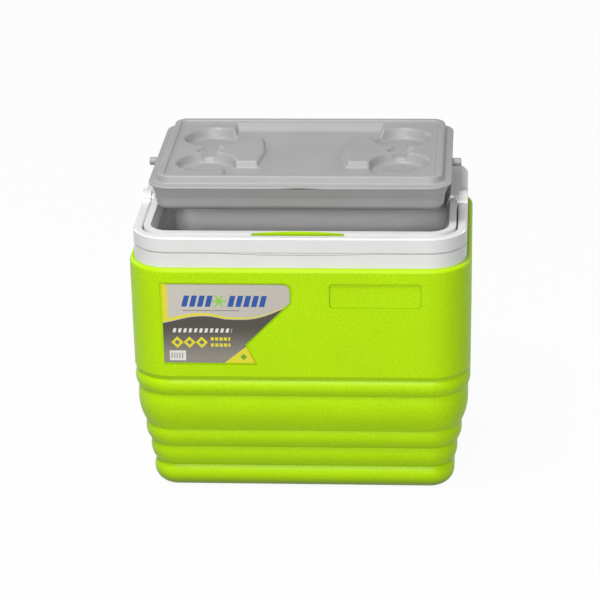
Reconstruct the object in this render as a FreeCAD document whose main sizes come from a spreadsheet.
import FreeCAD, Part
import math
import os
import Sketcher

# An insulated picnic cooler: a ribbed outer shell, an inner tub with foam between them, a collar that
# joins the two, a U-shaped bail handle that snaps into the collar, and a loose lid with drink wells.
# Millimetres, +Z up, +X to the right, front towards -Y, origin at the middle of the base.

doc = FreeCAD.newDocument("picnic_cooler")

# ---------------------------------------------------------------- driving dimensions
# Insets are measured inwards from the shell's largest outline, levels upwards from the base.
DIMENSIONS = [
    ("shell_width", 420.0, "largest width of the outer shell"),
    ("shell_depth", 304.0, "largest depth of the outer shell"),
    ("shell_height", 304.0, "level of the shell's upper edge"),
    ("corner_radius", 52.0, "radius of the upright corners"),
    ("shell_wall", 3.0, "wall of the outer shell"),
    ("shell_floor", 3.0, "floor of the outer shell"),
    ("shoulder_round", 5.0, "rounding of the shell's upper edge"),
    ("straight_level", 163.0, "where the upright wall ends above the ribs"),
    ("straight_inset", 0.8, "inset there, from the wall's slight draft"),
    ("groove_one_level", 157.0, "rib groove, highest"),
    ("groove_two_level", 135.0, "rib groove"),
    ("groove_three_level", 85.0, "rib groove"),
    ("groove_four_level", 60.0, "rib groove"),
    ("groove_five_level", 32.5, "rib groove, lowest"),
    ("groove_one_inset", 3.6, "inset of that groove"),
    ("groove_two_inset", 5.4, "inset of that groove"),
    ("groove_three_inset", 12.8, "inset of that groove"),
    ("groove_four_inset", 18.2, "inset of that groove"),
    ("groove_five_inset", 23.5, "inset of that groove"),
    ("base_inset", 40.0, "inset of the flat base"),
    ("rib_swell", 3.4, "how far a narrow rib swells out between its grooves"),
    ("wide_rib_swell", 4.6, "the same for the wide rib"),
    ("toe_swell", 7.5, "the same for the rounded toe"),
    ("band_height", 18.0, "collar below the handle's ledge"),
    ("ledge_depth", 22.0, "ledge below the collar's top"),
    ("rim_reach", 8.0, "inner edge of the shell's rim, under the collar"),
    ("collar_inset", 6.0, "collar inside the shell's outline"),
    ("collar_wall", 3.0, "wall of the collar"),
    ("collar_bevel", 1.4, "bevel along the collar's outer top edge"),
    ("tongue_height", 7.0, "collar lip that drops inside the shell"),
    ("strip_inset", 19.0, "outer face of the strip between handle and mouth"),
    ("seat_inset", 27.5, "upper edge of the lid's seat"),
    ("mouth_inset", 32.5, "mouth of the tub"),
    ("seat_depth", 13.5, "height of the lid's sloping seat"),
    ("liner_wall", 2.2, "wall of the inner tub"),
    ("liner_knee_level", 100.0, "where the tub starts to narrow"),
    ("liner_knee_inset", 36.0, "tub wall at that level"),
    ("liner_foot_inset", 43.0, "tub wall at its foot"),
    ("liner_foot_round", 6.0, "rounding along the tub's floor"),
    ("cavity_floor_level", 27.0, "tub floor"),
    ("handle_inset", 6.0, "handle inside the shell's outline"),
    ("handle_thickness", 11.0, "thickness of the handle's bar"),
    ("handle_bevel", 1.6, "bevel along the handle's edges"),
    ("ledge_gap", 0.3, "gap under the lowered handle"),
    ("pivot_drop", 6.0, "handle pivot below the collar's top"),
    ("ear_radius", 15.0, "round ear at each end of the handle"),
    ("ear_gap", 0.5, "gap around the ear in its pocket"),
    ("hub_radius", 11.0, "hollow hub that turns in the strip"),
    ("hub_clearance", 0.06, "running clearance of the hub"),
    ("hub_reach", 2.0, "hub's engagement in the strip"),
    ("peg_radius", 5.0, "lid peg"),
    ("peg_clearance", 0.5, "gap around a lid peg in its slot"),
    ("peg_reach", 14.0, "inset of a lid peg's tip"),
    ("peg_slot_floor", 12.0, "inset of the peg slot's blind end"),
    ("lift_height", 47.0, "how high the lid is held above its seat"),
    ("lift_slant", 20.0, "slant of the lid's path, degrees back from upright"),
    ("handle_drop", 2.0, "lowered handle's top below the collar's top"),
    ("bow_half_width", 95.0, "half width of the bar's swollen lower edge"),
    ("bow_drop", 2.4, "how far that edge swells"),
    ("bead_inset", 25.0, "lid's largest outline"),
    ("bead_height", 3.0, "thickness of the lid's edge bead"),
    ("finger_notch_half_width", 34.0, "notch under the bead's front edge"),
    ("finger_notch_rise", 1.4, "height of that notch"),
    ("shoulder_rise", 2.0, "rise of the flange behind the bead"),
    ("deck_inset", 36.0, "raised part of the lid"),
    ("deck_height", 14.0, "its top above the seat plane"),
    ("deck_round", 2.5, "rounding of the raised part's top edge"),
    ("rim_width", 9.0, "rim around the lid's tray"),
    ("plateau_drop", 4.5, "well plateau below the rim"),
    ("tray_drop", 10.5, "tray floor below the rim"),
    ("tray_slope", 14.0, "length of the tray's sloping back wall"),
    ("plateau_half_depth", 50.0, "half depth of each plateau"),
    ("plateau_end", 50.0, "plateau's nose from the middle of the lid"),
    ("plateau_corner", 6.0, "how far the nose's corners are cut back"),
    ("plateau_neck", 93.0, "where the plateau widens to the tray's full depth"),
    ("well_offset_x", 120.5, "drink well's centre from the middle, across"),
    ("well_offset_y", 48.5, "the same, front to back"),
    ("well_radius", 36.5, "drink well"),
    ("well_drop", 17.5, "well floor below the rim"),
    ("well_wall", 2.5, "wall of a drink well's cup"),
    ("well_disc_radius", 24.0, "raised disc in each well"),
    ("well_disc_height", 1.6, "its height"),
    ("link_radius", 13.0, "small round sump between two wells"),
    ("skirt_gap", 0.5, "gap between the lid's skirt and its seat"),
    ("skirt_depth", 30.0, "lid's plug below the seat plane"),
    ("skirt_round", 8.0, "rounding of the plug's lower edge"),
    ("pan_wall", 2.5, "wall of the lid's lower pan"),
    ("foam_gap", 0.3, "gap around a foam block"),
    ("panel_recess", 1.8, "depth of the label and badge panels"),
    ("label_thickness", 0.8, "label sheet"),
    ("label_margin", 2.5, "border of the panel around the label"),
    ("label_left", -166.0, "left edge of the label"),
    ("label_tip", -10.0, "tip of the label's upper part"),
    ("label_waist", -66.0, "right end of the narrow part"),
    ("label_tail", -54.0, "tip of the label's lower corner"),
    ("label_top", 284.0, "upper edge of the label"),
    ("label_shoulder", 261.0, "where the slope starts"),
    ("label_waist_level", 205.0, "where the slope ends"),
    ("label_bottom", 181.0, "lower edge of the label"),
    ("label_corner", 9.0, "corner radius at the tip"),
    ("badge_left", 38.0, "left edge of the blank badge panel"),
    ("badge_right", 150.0, "its right edge"),
    ("badge_top", 286.0, "its upper edge"),
    ("badge_bottom", 254.0, "its lower edge"),
    ("badge_corner", 4.0, "its corner radius"),
    ("lip_half_width", 56.0, "half width of the shell's finger lip"),
    ("lip_bulge", 7.6, "how far the finger lip bulges towards the mouth"),
    ("lip_clearance", 0.3, "gap around the finger lip"),
    ("window_margin", 4.0, "extra half width of the collar's window for the lip"),
    ("lip_shelf", 3.0, "thickness of the shelf that carries it"),
    ("plug_radius", 11.0, "foam filling plug's stem"),
    ("plug_head_radius", 15.0, "its head"),
    ("plug_head_height", 1.2, "thickness of the head"),
    ("plug_clearance", 0.15, "gap around the plug"),
]

sheet = doc.addObject("Spreadsheet::Sheet", "Dimensions")
for row, (alias, value, meaning) in enumerate(DIMENSIONS, start=1):
    sheet.set("A%d" % row, alias)
    sheet.set("B%d" % row, str(value))
    sheet.set("C%d" % row, meaning)
    sheet.setAlias("B%d" % row, alias)
doc.recompute()


class Size:
    """A length worked out from the sheet: its number now, and the formula that keeps it bound."""

    def __init__(self, number, formula):
        self.number = number
        self.formula = formula

    def _join(self, other, sign, number):
        return Size(number, "(%s %s %s)" % (self.formula, sign, as_size(other).formula))

    def __add__(self, other):
        return self._join(other, "+", self.number + as_size(other).number)

    def __sub__(self, other):
        return self._join(other, "-", self.number - as_size(other).number)

    def __mul__(self, other):
        return self._join(other, "*", self.number * as_size(other).number)

    def __truediv__(self, other):
        return self._join(other, "/", self.number / as_size(other).number)

    def __rmul__(self, other):
        return as_size(other) * self

    def __rsub__(self, other):
        return as_size(other) - self

    def __neg__(self):
        return as_size(0) - self


def as_size(value):
    return value if isinstance(value, Size) else Size(float(value), "%.6g" % value)


def cell(alias):
    return Size(float(sheet.get(alias)), "Dimensions." + alias)


def sine(angle):
    return Size(math.sin(math.radians(angle.number)), "sin(%s)" % angle.formula)


def cosine(angle):
    return Size(math.cos(math.radians(angle.number)), "cos(%s)" % angle.formula)


def bind(thing, name, value):
    thing.setExpression(name, as_size(value).formula)


# ---------------------------------------------------------------- sketching tools
def new_body(label):
    body = doc.addObject("PartDesign::Body", label)
    body.Label = label
    return body


def new_sketch(body, name, role, offset=0):
    """A sketch on one of the body's own origin planes, moved along that plane's normal."""
    sketch = body.newObject("Sketcher::SketchObject", name)
    origin_plane = [f for f in body.Origin.OriginFeatures if f.Role == role][0]
    sketch.AttachmentSupport = (origin_plane, [""])
    sketch.MapMode = "FlatFace"
    bind(sketch, ".AttachmentOffset.Base.z", offset)
    return sketch


def outline(sketch, points, closed=True):
    """An outline through (u, v) points. A third value is the signed radius of the arc that reaches
    the point: positive turns left, negative turns right."""
    numbers = [(as_size(p[0]).number, as_size(p[1]).number) for p in points]
    steps = list(enumerate(points)) if closed else list(enumerate(points))[1:]
    first = sketch.GeometryCount
    ends = []
    for index, point in steps:
        start = FreeCAD.Vector(*numbers[index - 1], 0)
        end = FreeCAD.Vector(*numbers[index], 0)
        if len(point) == 2:
            sketch.addGeometry(Part.LineSegment(start, end))
            ends.append((1, 2))
            continue
        radius = as_size(point[2]).number
        chord = end - start
        left = FreeCAD.Vector(-chord.y, chord.x, 0).normalize()
        rise = math.sqrt(max(radius ** 2 - chord.Length ** 2 / 4, 0.0))
        middle = (start + end) / 2 + left * (rise if radius > 0 else -rise)
        tail, head = (start, end) if radius > 0 else (end, start)
        turn_from = math.atan2(tail.y - middle.y, tail.x - middle.x)
        turn_to = math.atan2(head.y - middle.y, head.x - middle.x)
        circle = Part.Circle(middle, FreeCAD.Vector(0, 0, 1), abs(radius))
        sketch.addGeometry(Part.ArcOfCircle(circle, turn_from, turn_to))
        ends.append((1, 2) if radius > 0 else (2, 1))
    for place, (index, point) in enumerate(steps):
        this, end_of_this = first + place, ends[place][1]
        if closed or place + 1 < len(steps):
            following = (place + 1) % len(steps)
            joined = (this, end_of_this, first + following, ends[following][0])
            sketch.addConstraint(Sketcher.Constraint("Coincident", *joined))
        marks = [(this, end_of_this, point)]
        if not closed and place == 0:
            marks.append((this, ends[0][0], points[0]))
        for edge, end, mark in marks:
            for kind, value in (("DistanceX", mark[0]), ("DistanceY", mark[1])):
                number = as_size(value).number
                made = sketch.addConstraint(Sketcher.Constraint(kind, -1, 1, edge, end, number))
                bind(sketch, "Constraints[%d]" % made, value)
        if len(point) == 3:
            size = as_size(point[2])
            size = size if size.number > 0 else -size
            made = sketch.addConstraint(Sketcher.Constraint("Radius", this, size.number))
            bind(sketch, "Constraints[%d]" % made, size)


def disc(sketch, u, v, radius):
    u, v, radius = as_size(u), as_size(v), as_size(radius)
    centre = FreeCAD.Vector(u.number, v.number, 0)
    made = sketch.addGeometry(Part.Circle(centre, FreeCAD.Vector(0, 0, 1), radius.number))
    for kind, value in (("DistanceX", u), ("DistanceY", v)):
        rule = sketch.addConstraint(Sketcher.Constraint(kind, -1, 1, made, 3, value.number))
        bind(sketch, "Constraints[%d]" % rule, value)
    rule = sketch.addConstraint(Sketcher.Constraint("Radius", made, radius.number))
    bind(sketch, "Constraints[%d]" % rule, radius)


def arc_radius(half_chord, swell):
    """Radius of the arc that stands swell proud of a chord."""
    half_chord, swell = as_size(half_chord), as_size(swell)
    return (half_chord * half_chord + swell * swell) / (2 * swell)


half_width = cell("shell_width") / 2
half_depth = cell("shell_depth") / 2
corner = cell("corner_radius")


def rounded_rectangle(sketch, inset, split=False):
    """The shell's outline moved inwards. A split adds a point where the swept sections start."""
    inset = as_size(inset)
    wide, deep, bend = half_width - inset, half_depth - inset, corner - inset
    near_x, near_y = half_width - corner, half_depth - corner
    points = [
        (wide, near_y), (near_x, deep, bend), (-near_x, deep), (-wide, near_y, bend),
        (-wide, -near_y), (-near_x, -deep, bend), (near_x, -deep), (wide, -near_y, bend),
    ]
    if split:
        points.append((wide, 0))
    outline(sketch, points)


def box_outline(sketch, left, bottom, right, top, radius=None):
    """A plain or a rounded rectangle."""
    left, bottom, right, top = as_size(left), as_size(bottom), as_size(right), as_size(top)
    if radius is None:
        outline(sketch, [(left, bottom), (right, bottom), (right, top), (left, top)])
        return
    outline(sketch, [
        (right - radius, bottom), (right, bottom + radius, radius),
        (right, top - radius), (right - radius, top, radius),
        (left + radius, top), (left, top - radius, radius),
        (left, bottom + radius), (left + radius, bottom, radius),
    ])


def channel_outline(sketch, outer_inset, inner_inset, end, side):
    """A U along the front (side -1) or back (side 1) half of the outline, ending at y = side * end."""
    outer, inner, end = as_size(outer_inset), as_size(inner_inset), as_size(end)
    near_x, near_y = half_width - corner, half_depth - corner
    turn = side
    outline(sketch, [
        (half_width - outer, side * end),
        (half_width - outer, side * near_y),
        (near_x, side * (half_depth - outer), turn * (corner - outer)),
        (-near_x, side * (half_depth - outer)),
        (-(half_width - outer), side * near_y, turn * (corner - outer)),
        (-(half_width - outer), side * end),
        (-(half_width - inner), side * end),
        (-(half_width - inner), side * near_y),
        (-near_x, side * (half_depth - inner), -turn * (corner - inner)),
        (near_x, side * (half_depth - inner)),
        (half_width - inner, side * near_y, -turn * (corner - inner)),
        (half_width - inner, side * end),
    ])


def slot_outline(sketch, width_radius, length):
    """A straight slot from the handle's pivot along the lid's slanted path, round at the pivot."""
    slant = cell("lift_slant")
    across_u, across_v = cosine(slant) * width_radius, sine(slant) * width_radius
    along_u, along_v = sine(slant) * length, cosine(slant) * length
    outline(sketch, [
        (-across_u, pivot_level + across_v),
        (across_u, pivot_level - across_v, as_size(width_radius)),
        (across_u + along_u, pivot_level - across_v + along_v),
        (along_u - across_u, pivot_level + across_v + along_v),
    ])


def pad(body, name, sketch, length, backwards=False):
    feature = body.newObject("PartDesign::Pad", name)
    feature.Profile = sketch
    feature.Reversed = backwards
    bind(feature, "Length", length)
    return feature


def pocket(body, name, sketch, length, backwards=False):
    feature = body.newObject("PartDesign::Pocket", name)
    feature.Profile = sketch
    feature.Reversed = backwards
    bind(feature, "Length", length)
    return feature


def sweep(body, name, section, spine):
    """Sweeps a section, given as (inset, level) points, along a path that starts at x = half_width."""
    profile = new_sketch(body, name + "_section", "XZ_Plane")
    outline(profile, [(half_width - as_size(point[0]),) + tuple(point[1:]) for point in section])
    doc.recompute()
    pipe = body.newObject("PartDesign::AdditivePipe", name)
    pipe.Profile = profile
    pipe.Spine = (spine, ["Edge%d" % (n + 1) for n in range(spine.GeometryCount)])
    return pipe


def swept_wall(body, name, section):
    """A wall whose section runs all the way round the shell's outline."""
    spine = new_sketch(body, name + "_path", "XY_Plane")
    rounded_rectangle(spine, 0, split=True)
    return sweep(body, name, section, spine)


def swept_bar(body, name, section):
    """A bar whose section runs round the front half of the shell's outline, from side to side."""
    spine = new_sketch(body, name + "_path", "XY_Plane")
    near_x, near_y = half_width - corner, half_depth - corner
    outline(spine, [
        (half_width, 0), (half_width, -near_y), (near_x, -half_depth, -corner),
        (-near_x, -half_depth), (-half_width, -near_y, -corner), (-half_width, 0),
    ], closed=False)
    return sweep(body, name, section, spine)


def slab(body, name, inset, level, thickness):
    """A flat plate that fills the outline at this inset."""
    sketch = new_sketch(body, name + "_outline", "XY_Plane", level)
    rounded_rectangle(sketch, inset)
    return pad(body, name, sketch, thickness)


# ---------------------------------------------------------------- levels that several pieces share
ledge_level = cell("shell_height") + cell("band_height")
top_level = ledge_level + cell("ledge_depth")
pivot_level = top_level - cell("pivot_drop")
seat_foot_level = top_level - cell("seat_depth")
deck_level = top_level + cell("deck_height")
tongue_inset = cell("rim_reach") + cell("lip_clearance")
GROOVES = ["groove_one", "groove_two", "groove_three", "groove_four", "groove_five"]


def shell_inner_line(gap):
    """The inside of the outer shell from the top down, moved inwards by a gap. It bridges the ribs."""
    back = cell("shell_wall") + gap
    line = [(back, cell("shell_height") - cell("shoulder_round"))]
    line.append((cell("straight_inset") + back, cell("straight_level")))
    for groove in (GROOVES[0], GROOVES[-1]):
        line.append((cell(groove + "_inset") + back, cell(groove + "_level")))
    line.append((cell("base_inset") + gap, cell("shell_floor") + gap))
    return line


# ---------------------------------------------------------------- outer shell
def make_outer_shell():
    """Blow-moulded shell: plain above, five grooves and swelling ribs below, stepping inwards."""
    body = new_body("outer_shell")
    base = cell("base_inset")
    bend = cell("shoulder_round")
    outer = [
        (bend, cell("shell_height")),
        (as_size(0), cell("shell_height") - bend, -bend),
        (cell("straight_inset"), cell("straight_level")),
        (cell("groove_one_inset"), cell("groove_one_level")),
    ]
    swells = [cell("rib_swell"), cell("wide_rib_swell"), cell("rib_swell"), cell("rib_swell")]
    for upper, lower, swell in zip(GROOVES, GROOVES[1:], swells):
        half_chord = (cell(upper + "_level") - cell(lower + "_level")) / 2
        bulge = arc_radius(half_chord, swell)
        outer.append((cell(lower + "_inset"), cell(lower + "_level"), -bulge))
    outer.append((base, as_size(0), -arc_radius(cell("groove_five_level") / 2, cell("toe_swell"))))
    foot = [(base + cell("shell_wall"), as_size(0)), (base + cell("shell_wall"), cell("shell_floor"))]
    inner = list(reversed(shell_inner_line(as_size(0))))
    rim = [
        (bend, cell("shell_height") - cell("shell_wall")),
        (cell("rim_reach"), cell("shell_height") - cell("shell_wall")),
        (cell("rim_reach"), cell("shell_height")),
    ]
    swept_wall(body, "wall", outer + foot + inner + rim)
    slab(body, "floor", base + cell("shell_wall") / 2, 0, cell("shell_floor"))

    front = half_depth
    recess = cell("panel_recess")
    label_panel = new_sketch(body, "label_panel_outline", "XZ_Plane", front)
    label_outline(label_panel, cell("label_margin"))
    pocket(body, "label_panel", label_panel, recess)
    badge_panel = new_sketch(body, "badge_panel_outline", "XZ_Plane", front)
    box_outline(badge_panel, cell("badge_left"), cell("badge_bottom"), cell("badge_right"),
                cell("badge_top"), cell("badge_corner"))
    pocket(body, "badge_panel", badge_panel, recess)

    # finger lip: a shelf off the front rim and an upright tongue in the scoop behind the handle
    shelf_level = cell("shell_height") - cell("lip_clearance") - cell("lip_shelf")
    wide, bulge = cell("lip_half_width"), cell("lip_bulge")
    front_face = cell("strip_inset") - half_depth
    shelf = new_sketch(body, "lip_shelf_outline", "XY_Plane", shelf_level)
    box_outline(shelf, -wide, cell("collar_inset") - half_depth, wide, front_face + bulge)
    pad(body, "lip_shelf", shelf, cell("lip_shelf"))
    lip_plan = new_sketch(body, "lip_outline", "XY_Plane", shelf_level)
    outline(lip_plan, [(wide, front_face), (-wide, front_face, arc_radius(wide, bulge))])
    pad(body, "lip", lip_plan, top_level - cell("lip_clearance") - shelf_level)

    hole = new_sketch(body, "filling_hole_outline", "XY_Plane")
    disc(hole, 0, 0, cell("plug_radius") + cell("plug_clearance"))
    pocket(body, "filling_hole", hole, cell("shell_floor"), backwards=True)
    head = new_sketch(body, "plug_seat_outline", "XY_Plane")
    disc(head, 0, 0, cell("plug_head_radius") + cell("plug_clearance"))
    pocket(body, "plug_seat", head, cell("plug_head_height") + cell("plug_clearance"), backwards=True)
    return body


def label_outline(sketch, margin):
    """The label's slanted shape, grown by a margin."""
    left, bottom = cell("label_left") - margin, cell("label_bottom") - margin
    top, tip = cell("label_top") + margin, cell("label_tip") + margin
    bend = cell("label_corner")
    outline(sketch, [
        (left, bottom),
        (cell("label_tail") + margin, bottom),
        (cell("label_waist") + margin, cell("label_waist_level")),
        (tip, cell("label_shoulder") - margin / 2),
        (tip, top - bend),
        (tip - bend, top, bend),
        (left, top),
    ])


# ---------------------------------------------------------------- foam between shell and tub
def make_insulation_core():
    body = new_body("insulation_core")
    gap = cell("foam_gap")
    reach = cell("liner_wall") + gap
    top = cell("shell_height") - gap - cell("lip_clearance")
    rebate_level = cell("shell_height") - cell("tongue_height") - gap
    rebate = tongue_inset + cell("collar_wall") + gap
    outer = [(rebate, top), (rebate, rebate_level), (cell("shell_wall") + gap, rebate_level)]
    outer += shell_inner_line(gap)[1:]
    under = cell("cavity_floor_level") - reach
    inner = [
        (cell("liner_foot_inset") + cell("liner_foot_round") - reach, cell("shell_floor") + gap),
        (cell("liner_foot_inset") + cell("liner_foot_round") - reach, under),
        (cell("liner_foot_inset") - reach, cell("cavity_floor_level") + cell("liner_foot_round") - reach),
        (cell("liner_knee_inset") - reach, cell("liner_knee_level")),
        (cell("mouth_inset") - reach, top),
    ]
    swept_wall(body, "foam_wall", outer + inner)
    overlap = cell("liner_foot_inset") + cell("liner_foot_round") - reach - cell("foam_gap")
    slab(body, "foam_floor", overlap, cell("shell_floor") + gap, under - cell("shell_floor") - gap)
    trench = new_sketch(body, "lip_trench_outline", "XY_Plane", top)
    wide = cell("lip_half_width") + gap
    box_outline(trench, -wide, -half_depth, wide, cell("mouth_inset") - reach / 2 - half_depth)
    pocket(body, "lip_trench", trench, cell("lip_shelf") + gap)
    return body


# ---------------------------------------------------------------- inner tub
def make_inner_liner():
    """Moulded tub: drafted walls that narrow at the foot, rounded into a flat floor."""
    body = new_body("inner_liner")
    wall = cell("liner_wall")
    rim = seat_foot_level - cell("foam_gap")
    foot, bend, floor = cell("liner_foot_inset"), cell("liner_foot_round"), cell("cavity_floor_level")
    section = [
        (cell("mouth_inset"), rim),
        (cell("mouth_inset") - wall, rim),
        (cell("liner_knee_inset") - wall, cell("liner_knee_level")),
        (foot - wall, floor + bend - wall),
        (foot + bend, floor - wall),
        (foot + bend, floor),
        (foot, floor + bend, -bend * 1.6),
        (cell("liner_knee_inset"), cell("liner_knee_level")),
    ]
    swept_wall(body, "tub_wall", section)
    slab(body, "tub_floor", foot + bend - wall / 2, floor - wall, wall)
    return body


# ---------------------------------------------------------------- collar
def make_top_collar():
    """Moulded ring over shell and tub: sloping lid seat inside, ledge for the handle in front,
    round pockets for the handle's ears, C-shaped bearings for its hubs, and notches for the lid's pegs."""
    body = new_body("top_collar")
    bevel, inset, wall = cell("collar_bevel"), cell("collar_inset"), cell("collar_wall")
    skirt_face = cell("mouth_inset") - cell("liner_wall") - cell("foam_gap")
    base = cell("shell_height")
    swept_wall(body, "ring", [
        (inset, base),
        (inset, top_level - bevel),
        (inset + bevel, top_level),
        (cell("seat_inset"), top_level),
        (cell("mouth_inset"), seat_foot_level),
        (skirt_face, seat_foot_level),
        (skirt_face, base),
        (tongue_inset + wall, base),
        (tongue_inset + wall, base - cell("tongue_height")),
        (tongue_inset, base - cell("tongue_height")),
        (tongue_inset, base),
    ])
    block_end = cell("ear_radius") + cell("ear_gap") + 4 * wall
    hollow_outer = tongue_inset + wall
    hollow_inner = skirt_face - wall
    for name, side, roof in (("front_hollow", -1, ledge_level - wall), ("back_hollow", 1, top_level - wall)):
        void = new_sketch(body, name + "_outline", "XY_Plane", base)
        channel_outline(void, hollow_outer, hollow_inner, block_end, side)
        pocket(body, name, void, roof - base, backwards=True)

    ledge = new_sketch(body, "handle_ledge_outline", "XY_Plane", top_level)
    channel_outline(ledge, -bevel, cell("strip_inset"), 0, -1)
    pocket(body, "handle_ledge", ledge, cell("ledge_depth"))
    bow = new_sketch(body, "ledge_bow_outline", "XZ_Plane", half_depth)
    bow_outline(bow, ledge_level, cell("bow_drop") + cell("ledge_gap"))
    pocket(body, "ledge_bow", bow, cell("strip_inset"))

    strip_face = half_width - cell("strip_inset")
    for hand, side in (("right", 1), ("left", -1)):
        ear = new_sketch(body, hand + "_ear_pocket_outline", "YZ_Plane", side * strip_face)
        disc(ear, 0, pivot_level, cell("ear_radius") + cell("ear_gap"))
        pocket(body, hand + "_ear_pocket", ear, cell("strip_inset") + bevel, backwards=side > 0)
        bearing_floor = strip_face - cell("hub_reach") - cell("ledge_gap")
        bearing = new_sketch(body, hand + "_bearing_outline", "YZ_Plane", side * bearing_floor)
        disc(bearing, 0, pivot_level, cell("hub_radius") + cell("hub_clearance"))
        pocket(body, hand + "_bearing", bearing, cell("strip_inset"), backwards=side > 0)
        notch = new_sketch(body, hand + "_peg_notch_outline", "YZ_Plane",
                           side * (half_width - cell("mouth_inset") - cell("liner_wall")))
        slot_outline(notch, cell("peg_radius") + cell("peg_clearance"), cell("ear_radius") * 2)
        pocket(body, hand + "_peg_notch", notch, cell("mouth_inset"), backwards=side > 0)

    window = new_sketch(body, "lip_window_outline", "XY_Plane", top_level)
    gap = cell("lip_clearance")
    wide, front = cell("lip_half_width") + cell("window_margin"), cell("strip_inset") - gap - half_depth
    outline(window, [(wide, front), (-wide, front, arc_radius(wide, cell("lip_bulge") + 2 * gap))])
    pocket(body, "lip_window", window, top_level - base)
    tongue_gap = new_sketch(body, "tongue_gap_outline", "XY_Plane", base)
    box_outline(tongue_gap, -wide, -half_depth, wide, hollow_outer - half_depth)
    pocket(body, "tongue_gap", tongue_gap, cell("tongue_height"))
    return body


def bow_outline(sketch, level, drop):
    """The shallow swell along the lower edge of the handle's bar."""
    wide = cell("bow_half_width")
    outline(sketch, [(-wide, level), (wide, level, arc_radius(wide, drop))])


# ---------------------------------------------------------------- bail handle
def make_bail_handle():
    """One U-shaped moulding, lying lowered round the front. Its ears carry hollow hubs that turn in the
    collar, and blind slots that let the lid's pegs out only while the handle is down."""
    body = new_body("bail_handle")
    bottom = ledge_level + cell("ledge_gap")
    top = top_level - cell("handle_drop")
    bar_inner = cell("handle_inset") + cell("handle_thickness")
    outer, bend = cell("handle_inset"), cell("handle_bevel")
    swept_bar(body, "bar", [
        (outer, bottom + bend), (outer, top - bend), (outer + bend, top), (bar_inner - bend, top),
        (bar_inner, top - bend), (bar_inner, bottom + bend), (bar_inner - bend, bottom), (outer + bend, bottom),
    ])
    bow = new_sketch(body, "bow_outline", "XZ_Plane", half_depth - outer - bend)
    bow_outline(bow, bottom, cell("bow_drop"))
    pad(body, "bow", bow, cell("handle_thickness") - 2 * bend, backwards=True)
    inner_face = half_width - bar_inner
    for hand, side in (("right", 1), ("left", -1)):
        ear = new_sketch(body, hand + "_ear_outline", "YZ_Plane", side * inner_face)
        disc(ear, 0, pivot_level, cell("ear_radius"))
        pad(body, hand + "_ear", ear, bar_inner - cell("collar_inset"), backwards=side < 0)
        hub = new_sketch(body, hand + "_hub_outline", "YZ_Plane", side * inner_face)
        disc(hub, 0, pivot_level, cell("hub_radius"))
        hub_length = cell("strip_inset") - bar_inner + cell("hub_reach")
        pad(body, hand + "_hub", hub, hub_length, backwards=side > 0)
        slot = new_sketch(body, hand + "_slot_outline", "YZ_Plane", side * (inner_face - hub_length))
        slot_outline(slot, cell("peg_radius") + cell("peg_clearance"), cell("ear_radius") * 2)
        depth = bar_inner + hub_length - cell("peg_slot_floor")
        pocket(body, hand + "_slot", slot, depth, backwards=side > 0)
    return body


# ---------------------------------------------------------------- lid
def well_centres():
    across, along = cell("well_offset_x"), cell("well_offset_y")
    return [(x * across, y * along) for x in (1, -1) for y in (-1, 1)]


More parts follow.
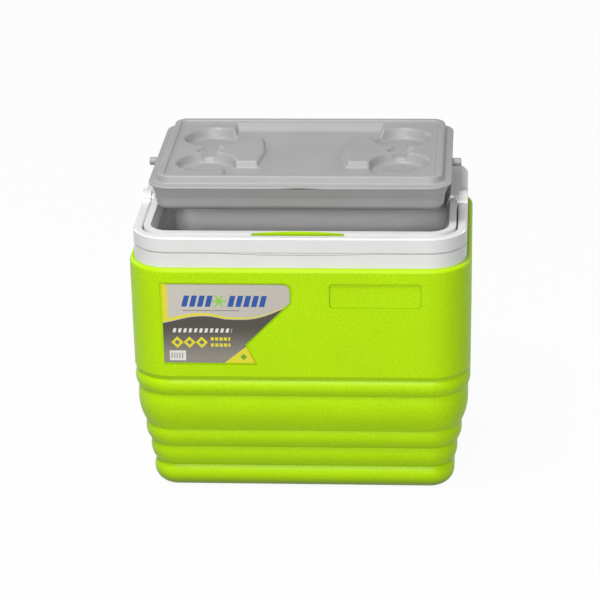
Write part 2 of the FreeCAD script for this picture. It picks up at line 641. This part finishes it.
def make_lid_top():
    """Upper moulding of the lid: edge bead, raised deck with a rim, a centre tray, and at each end a
    plateau with two drink wells and the small sump that joins them."""
    body = new_body("lid_top")
    rim_face = cell("deck_inset") + cell("rim_width")
    shoulder = top_level + cell("bead_height") + cell("shoulder_rise")
    swept_wall(body, "flange", [
        (cell("bead_inset"), top_level),
        (cell("bead_inset"), top_level + cell("bead_height")),
        (cell("deck_inset") - cell("shoulder_rise") / 2, shoulder),
        (cell("deck_inset"), deck_level - cell("deck_round")),
        (cell("deck_inset") + cell("deck_round"), deck_level, cell("deck_round")),
        (rim_face, deck_level),
        (rim_face, top_level),
    ])
    tray_level = deck_level - cell("tray_drop")
    slab(body, "tray_floor", rim_face - cell("pan_wall") / 2, top_level, tray_level - top_level)

    inner_x, inner_y = half_width - rim_face, half_depth - rim_face
    reach = cell("pan_wall") / 2
    back_wall = new_sketch(body, "tray_back_outline", "YZ_Plane", -inner_x)
    outline(back_wall, [
        (inner_y + reach, tray_level), (inner_y + reach, deck_level - cell("plateau_drop") / 2),
        (inner_y, deck_level - cell("plateau_drop") / 2), (inner_y - cell("tray_slope"), tray_level),
    ])
    pad(body, "tray_back", back_wall, 2 * inner_x)

    plateau_height = cell("tray_drop") - cell("plateau_drop")
    nose, cut = cell("plateau_end"), cell("plateau_corner")
    deep, neck = cell("plateau_half_depth"), cell("plateau_neck")
    for hand, side in (("right", 1), ("left", -1)):
        plateau = new_sketch(body, hand + "_plateau_outline", "XY_Plane", tray_level)
        outline(plateau, [
            (side * (inner_x + reach), -(inner_y + reach)), (side * (inner_x + reach), inner_y + reach),
            (side * neck, inner_y + reach), (side * neck, deep),
            (side * (nose + cut), deep), (side * nose, 0), (side * (nose + cut), -deep),
            (side * neck, -deep), (side * neck, -(inner_y + reach)),
        ])
        pad(body, hand + "_plateau", plateau, plateau_height)

    well_floor = deck_level - cell("well_drop")
    cup_depth = top_level - well_floor + cell("well_wall")
    spots = well_centres()
    cups = new_sketch(body, "well_cups_outline", "XY_Plane", top_level)
    for x, y in spots:
        disc(cups, x, y, cell("well_radius") + cell("well_wall"))
    pad(body, "well_cups", cups, cup_depth, backwards=True)
    wells = new_sketch(body, "wells_outline", "XY_Plane", deck_level)
    for x, y in spots:
        disc(wells, x, y, cell("well_radius"))
    pocket(body, "wells", wells, cell("well_drop"))
    discs = new_sketch(body, "well_discs_outline", "XY_Plane", well_floor)
    for x, y in spots:
        disc(discs, x, y, cell("well_disc_radius"))
    pad(body, "well_discs", discs, cell("well_disc_height"))
    sumps = new_sketch(body, "sumps_outline", "XY_Plane", deck_level)
    for side in (1, -1):
        disc(sumps, side * cell("well_offset_x"), 0, cell("link_radius"))
    pocket(body, "sumps", sumps, cell("tray_drop") + cell("well_wall") / 2)

    notch = new_sketch(body, "finger_notch_outline", "XZ_Plane", half_depth)
    wide = cell("finger_notch_half_width")
    rise = cell("finger_notch_rise")
    outline(notch, [(wide, top_level), (-wide, top_level, arc_radius(wide, rise))])
    pocket(body, "finger_notch", notch, cell("bead_inset") + 3 * rise)
    return body


def make_lid_pan():
    """Lower moulding of the lid: tapered plug, flat underside, and the two side pegs."""
    body = new_body("lid_pan")
    wall, depth, bend = cell("pan_wall"), cell("skirt_depth"), cell("skirt_round")
    slope = (cell("mouth_inset") - cell("seat_inset")) / cell("seat_depth")
    upper = cell("seat_inset") + cell("skirt_gap")
    straight = depth - bend
    lower = upper + slope * straight
    under = top_level - depth
    inner_end = lower + bend + wall
    swept_wall(body, "skirt", [
        (upper, top_level),
        (lower, top_level - straight),
        (lower + bend, under, bend * 1.25),
        (inner_end, under),
        (inner_end, under + wall),
        (lower + bend, under + wall),
        (lower + wall, top_level - straight),
        (upper + wall, top_level),
    ])
    slab(body, "underside", inner_end - wall / 2, under, wall)
    root = half_width - upper - slope * cell("pivot_drop") - wall
    for hand, side in (("right", 1), ("left", -1)):
        peg = new_sketch(body, hand + "_peg_outline", "YZ_Plane", side * root)
        disc(peg, 0, pivot_level, cell("peg_radius"))
        pad(body, hand + "_peg", peg, half_width - cell("peg_reach") - root, backwards=side < 0)
    hole = new_sketch(body, "filling_hole_outline", "XY_Plane", under)
    disc(hole, 0, 0, cell("plug_radius") + cell("plug_clearance"))
    pocket(body, "filling_hole", hole, wall, backwards=True)
    head = new_sketch(body, "plug_seat_outline", "XY_Plane", under)
    disc(head, 0, 0, cell("plug_head_radius") + cell("plug_clearance"))
    pocket(body, "plug_seat", head, cell("plug_head_height") + cell("plug_clearance"), backwards=True)
    return body


def make_lid_insulation():
    """Foam block in the lid, cleared round the four cups."""
    body = new_body("lid_insulation")
    gap, wall = cell("foam_gap"), cell("pan_wall")
    slope = (cell("mouth_inset") - cell("seat_inset")) / cell("seat_depth")
    lower = cell("seat_inset") + cell("skirt_gap") + slope * (cell("skirt_depth") - cell("skirt_round"))
    inset = lower + cell("skirt_round") + wall
    bottom = top_level - cell("skirt_depth") + wall
    slab(body, "block", inset, bottom, top_level - gap - bottom)
    depth = cell("well_drop") - cell("deck_height") + cell("well_wall")
    cups = new_sketch(body, "cup_clearance_outline", "XY_Plane", top_level)
    for x, y in well_centres():
        disc(cups, x, y, cell("well_radius") + cell("well_wall") + gap)
    pocket(body, "cup_clearance", cups, depth + gap)
    return body


# ---------------------------------------------------------------- small pieces
def make_label():
    """Printed plastic sheet stuck in the shell's label panel."""
    body = new_body("front_label")
    face = half_depth - cell("panel_recess")
    sheet_outline = new_sketch(body, "label_outline", "XZ_Plane", face)
    label_outline(sheet_outline, 0)
    pad(body, "label_sheet", sheet_outline, cell("label_thickness"))
    return body


def make_filling_plug(label, level, floor):
    """Plastic plug that closes the hole through which the foam is injected."""
    body = new_body(label)
    head = new_sketch(body, "head_outline", "XY_Plane", level)
    disc(head, 0, 0, cell("plug_head_radius"))
    pad(body, "head", head, cell("plug_head_height"))
    stem = new_sketch(body, "stem_outline", "XY_Plane", level)
    disc(stem, 0, 0, cell("plug_radius"))
    pad(body, "stem", stem, floor)
    return body


lid_underside = top_level - cell("skirt_depth")
chest_pieces = [
    make_outer_shell(),
    make_insulation_core(),
    make_inner_liner(),
    make_top_collar(),
    make_label(),
    make_filling_plug("base_filling_plug", as_size(0), cell("shell_floor")),
    make_bail_handle(),
]
lid_pieces = [
    make_lid_top(),
    make_lid_pan(),
    make_lid_insulation(),
    make_filling_plug("lid_filling_plug", lid_underside, cell("pan_wall")),
]

# The lid is held above its seat, up and back along its slanted path.
lid_setback = cell("lift_height") * sine(cell("lift_slant")) / cosine(cell("lift_slant"))
for piece in lid_pieces:
    bind(piece, ".Placement.Base.y", lid_setback)
    bind(piece, ".Placement.Base.z", cell("lift_height"))

doc.recompute()
pieces = chest_pieces + lid_pieces

# ---------------------------------------------------------------- check and write
for thing in doc.Objects:
    if "Invalid" in thing.State or "Error" in thing.State:
        raise RuntimeError("%s failed: %s" % (thing.Label, thing.State))
for piece in pieces:
    if piece.Shape.isNull() or not piece.Shape.isValid():
        raise RuntimeError(piece.Label + " has no valid shape")
    if len(piece.Shape.Solids) != 1:
        raise RuntimeError("%s has %d solids" % (piece.Label, len(piece.Shape.Solids)))

os.makedirs("parts", exist_ok=True)
for piece in pieces:
    piece.Shape.exportStep("parts/%s.step" % piece.Label)
    box = piece.Shape.BoundBox
    print("%-18s %9.0f mm3  x %.1f..%.1f  y %.1f..%.1f  z %.1f..%.1f" % (
        piece.Label, piece.Shape.Volume, box.XMin, box.XMax, box.YMin, box.YMax, box.ZMin, box.ZMax))
